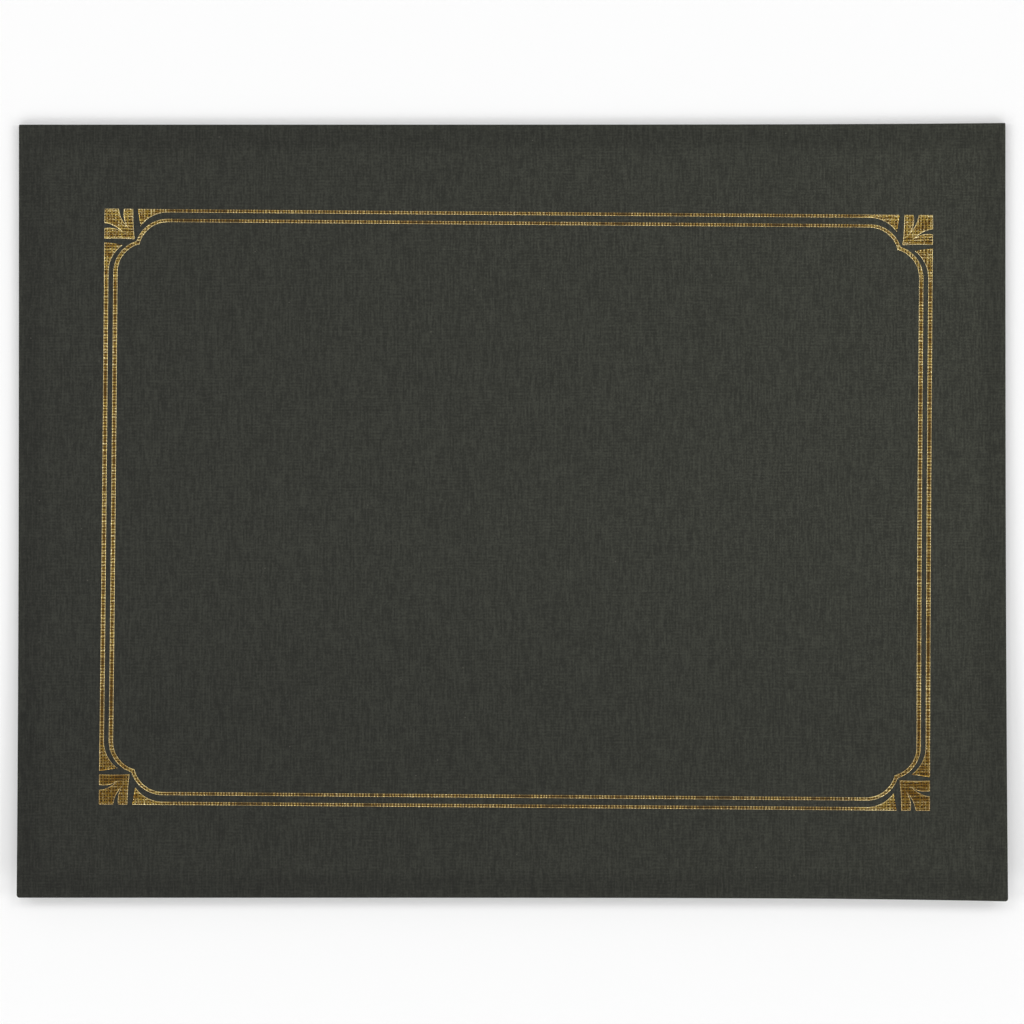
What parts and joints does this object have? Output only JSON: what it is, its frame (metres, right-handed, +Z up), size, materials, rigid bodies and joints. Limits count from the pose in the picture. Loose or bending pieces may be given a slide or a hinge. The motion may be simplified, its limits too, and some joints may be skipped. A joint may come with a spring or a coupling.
{
  "type": "document cover",
  "caption": "landscape document cover: one sheet of dark linen card folded along its top edge, with a gold foil border on the front and slits for a document inside",
  "frame": {"origin": "on the table plane under the middle of the closed cover", "axes": "+X to the right along the fold as the front is read, +Y towards the fold, +Z up out of the front"},
  "size_m": [0.3174, 0.25, 0.0057],
  "materials": {
    "linen_card": "matte",
    "gold_foil": "satin"
  },
  "bodies": {
    "root": {"cover_sheet": "linen_card", "foil_inner_rule": "gold_foil", "foil_top_bar": "gold_foil", "foil_bottom_bar": "gold_foil", "foil_left_bar": "gold_foil", "foil_right_bar": "gold_foil", "foil_fan_top_left": "gold_foil", "foil_fan_top_right": "gold_foil", "foil_fan_bottom_left": "gold_foil", "foil_fan_bottom_right": "gold_foil"}
  },
  "joints": []
}
